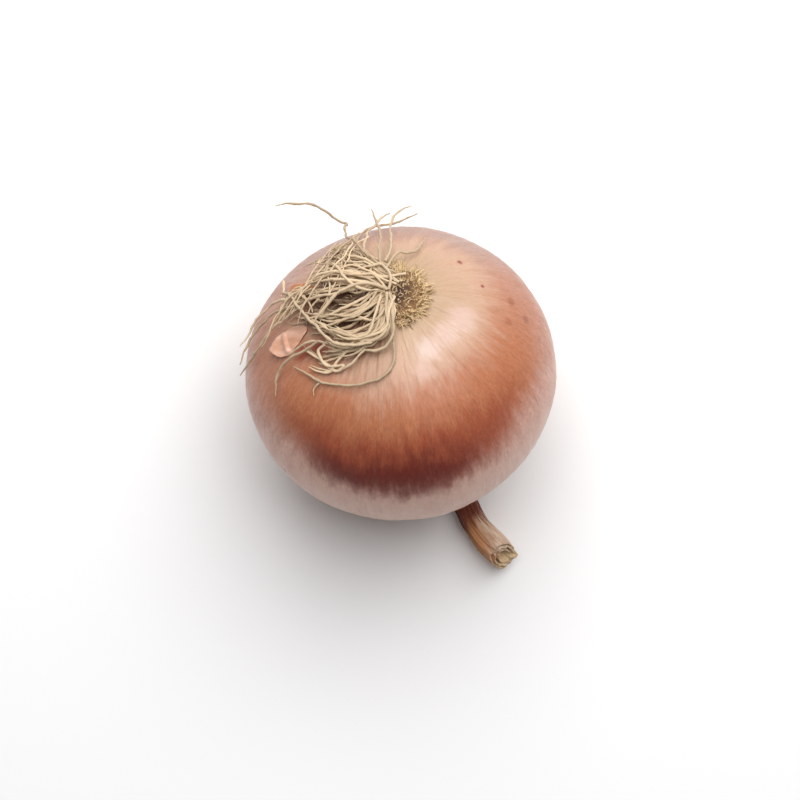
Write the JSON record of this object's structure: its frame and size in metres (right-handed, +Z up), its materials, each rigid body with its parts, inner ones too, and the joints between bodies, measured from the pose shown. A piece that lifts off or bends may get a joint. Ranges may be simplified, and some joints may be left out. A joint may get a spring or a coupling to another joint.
{
  "type": "onion",
  "caption": "Whole dry brown onion resting on its side, with papery copper skin, a root plate with matted dry roots, and a bent dry neck.",
  "frame": {"origin": "centre of the small flat spot that the bulb rests on", "axes": "+Z up, -Y towards the side where the dry neck pokes out along the surface, +X to the right of someone who looks along +Y"},
  "size_m": [0.0759, 0.0903, 0.0689],
  "materials": {
    "onion_skin": "satin",
    "dry_neck": "matte",
    "root_cork": "matte",
    "dry_root": "matte",
    "torn_skin": "satin",
    "dark_skin": "satin"
  },
  "bodies": {
    "root": {"bulb": "onion_skin", "neck": "dry_neck", "root_plate": "root_cork", "root_mat": "dry_root", "torn_skin": "torn_skin", "skin_flake": "torn_skin", "skin_tip": "dark_skin", "root_long_back": "dry_root", "root_upright": "dry_root", "root_hook": "dry_root", "root_fork_right": "dry_root", "root_fork_low": "dry_root", "root_right": "dry_root", "root_left_high": "dry_root", "root_left_mid": "dry_root", "root_left_low": "dry_root", "root_left_bottom": "dry_root", "root_loop_big": "dry_root", "root_loop_inner": "dry_root", "root_stub_low": "dry_root"}
  },
  "joints": []
}
